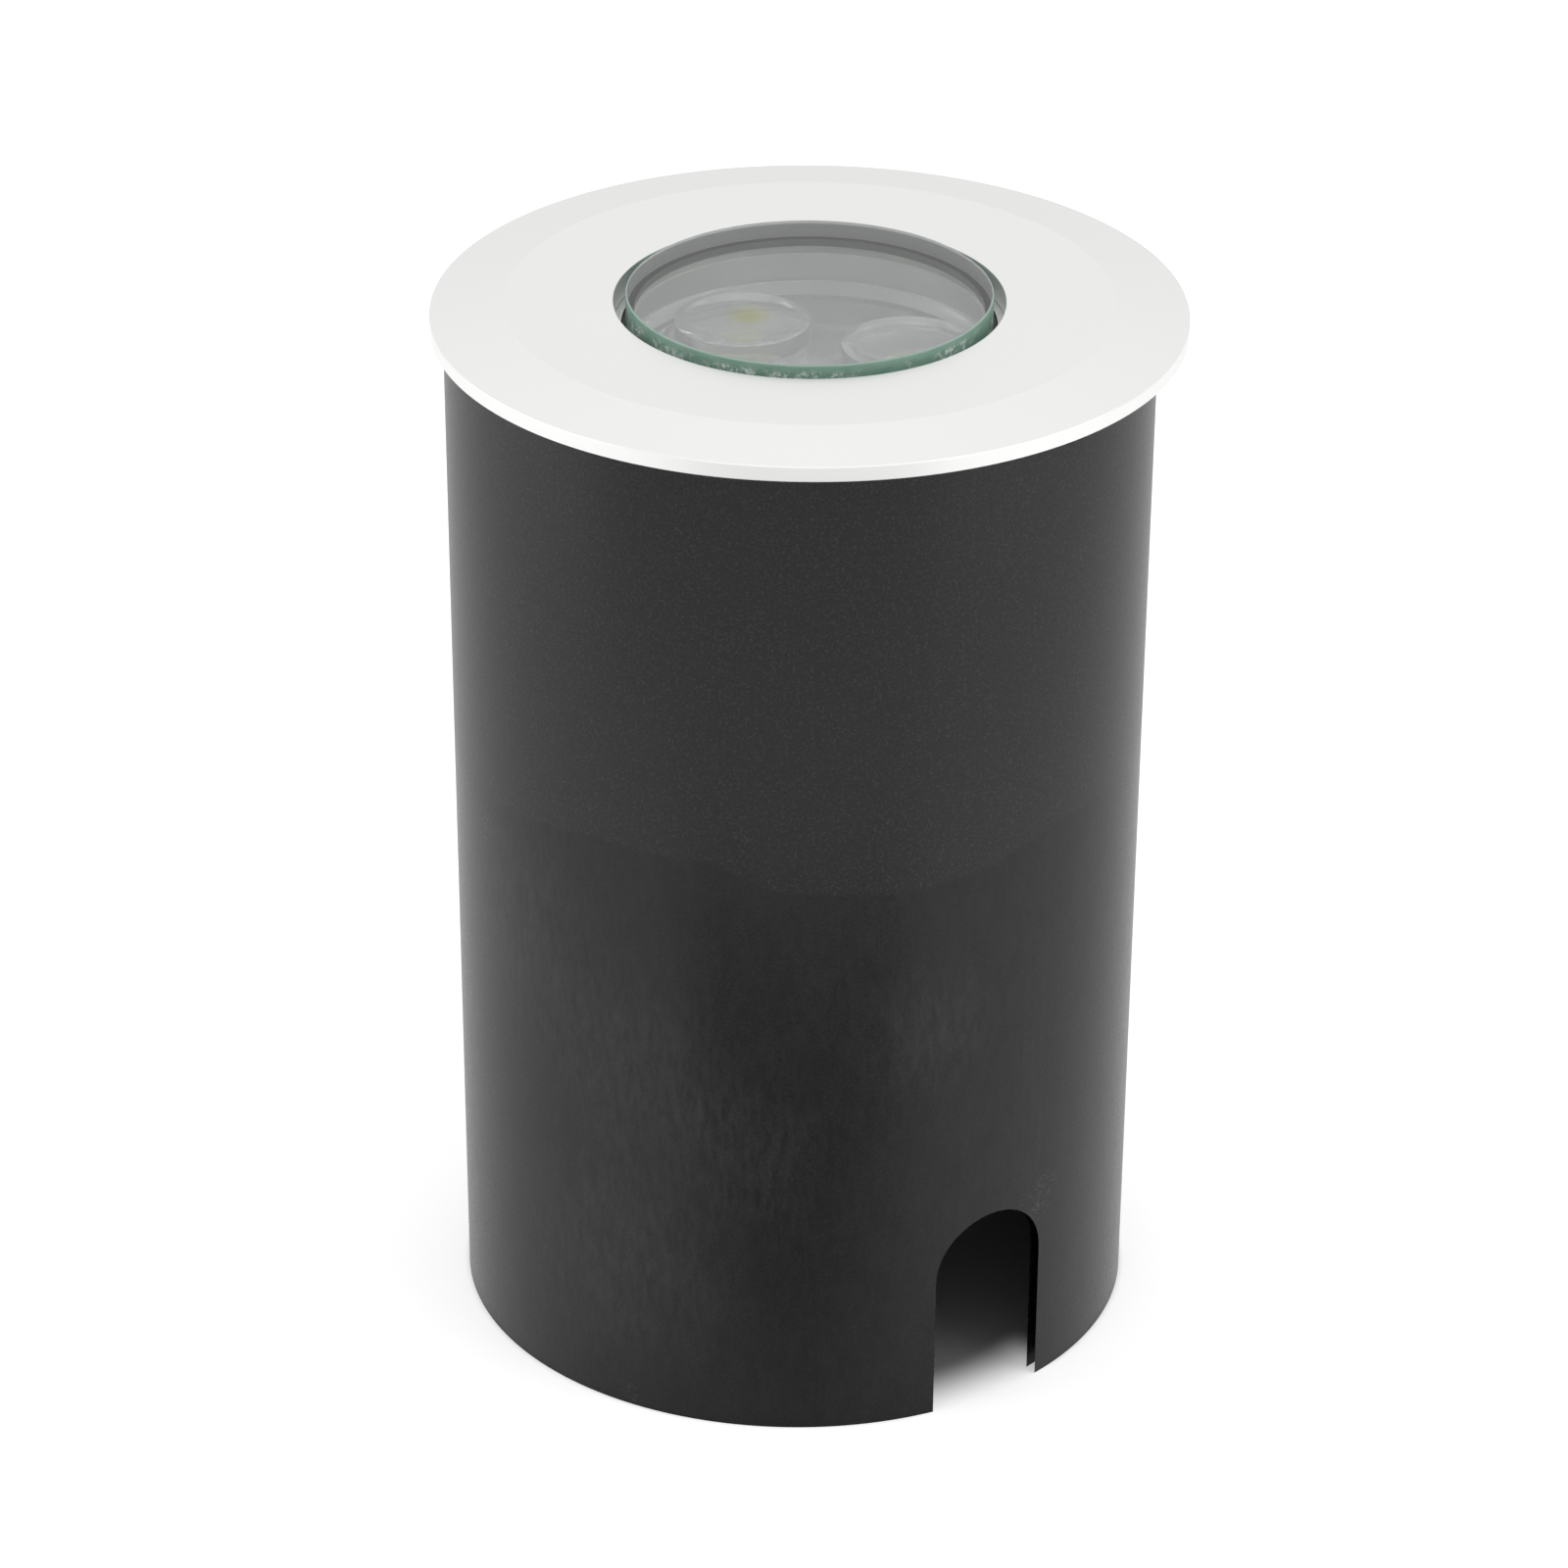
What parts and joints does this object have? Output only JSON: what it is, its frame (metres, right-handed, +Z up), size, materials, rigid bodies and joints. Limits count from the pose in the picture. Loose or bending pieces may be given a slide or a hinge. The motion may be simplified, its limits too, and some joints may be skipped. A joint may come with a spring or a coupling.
{
  "type": "in ground well light",
  "caption": "Round recessed ground light: satin aluminium ring and thick glass on a lamp insert that stands in a tapered black plastic sleeve with arched cable slots.",
  "frame": {"origin": "on the axis of the lamp insert, at the level of the sleeve's foot", "axes": "+Z up along the lamp's axis towards the glass; -Y towards one of the two cable slots of the sleeve"},
  "size_m": [0.11, 0.11, 0.162],
  "materials": {
    "black_plastic": "fine moulded grain, dull black",
    "ring_metal": "turned and matt anodised, silver",
    "cast_metal": "die-cast, bare grey",
    "bored_metal": "machined, bare",
    "clear_glass": "clear toughened glass with a green edge",
    "clear_lens": "clear moulded optic",
    "grey_silicone": "dark silicone",
    "black_rubber": "black rubber",
    "white_board": "white solder mask",
    "chip_yellow": "yellow phosphor on a white package",
    "steel_screw": "stainless steel",
    "spring_steel": "dark spring steel",
    "brass_post": "turned brass",
    "driver_case": "light grey plastic",
    "lead_red": "red insulation",
    "lead_black": "black insulation",
    "gland_plastic": "black nylon"
  },
  "bodies": {
    "sleeve": {"mounting_sleeve": "black_plastic"},
    "lamp": {"front_ring": "ring_metal", "ring_screws": "steel_screw", "front_glass": "clear_glass", "glass_gasket": "grey_silicone", "glass_flange": "bored_metal", "flange_seal": "black_rubber", "lamp_housing": "cast_metal", "triple_lens": "clear_lens", "led_board": "white_board", "led_chip_1": "chip_yellow", "led_chip_2": "chip_yellow", "led_chip_3": "chip_yellow", "board_screws": "steel_screw", "heat_disc": "bored_metal", "retaining_ring": "spring_steel", "lead_red": "lead_red", "lead_black": "lead_black", "led_driver": "driver_case", "driver_screws": "steel_screw", "driver_posts": "brass_post", "rear_cover": "cast_metal", "cover_seal": "black_rubber", "cover_screws": "steel_screw", "gland_washer": "black_rubber", "gland_body": "gland_plastic", "gland_rubber": "black_rubber", "gland_nut": "gland_plastic"}
  },
  "joints": [
    {"name": "lamp_lift", "type": "slide", "parent": "sleeve", "child": "lamp", "axis": [0, 0, 1], "range_m": [0, 0.135]}
  ]
}
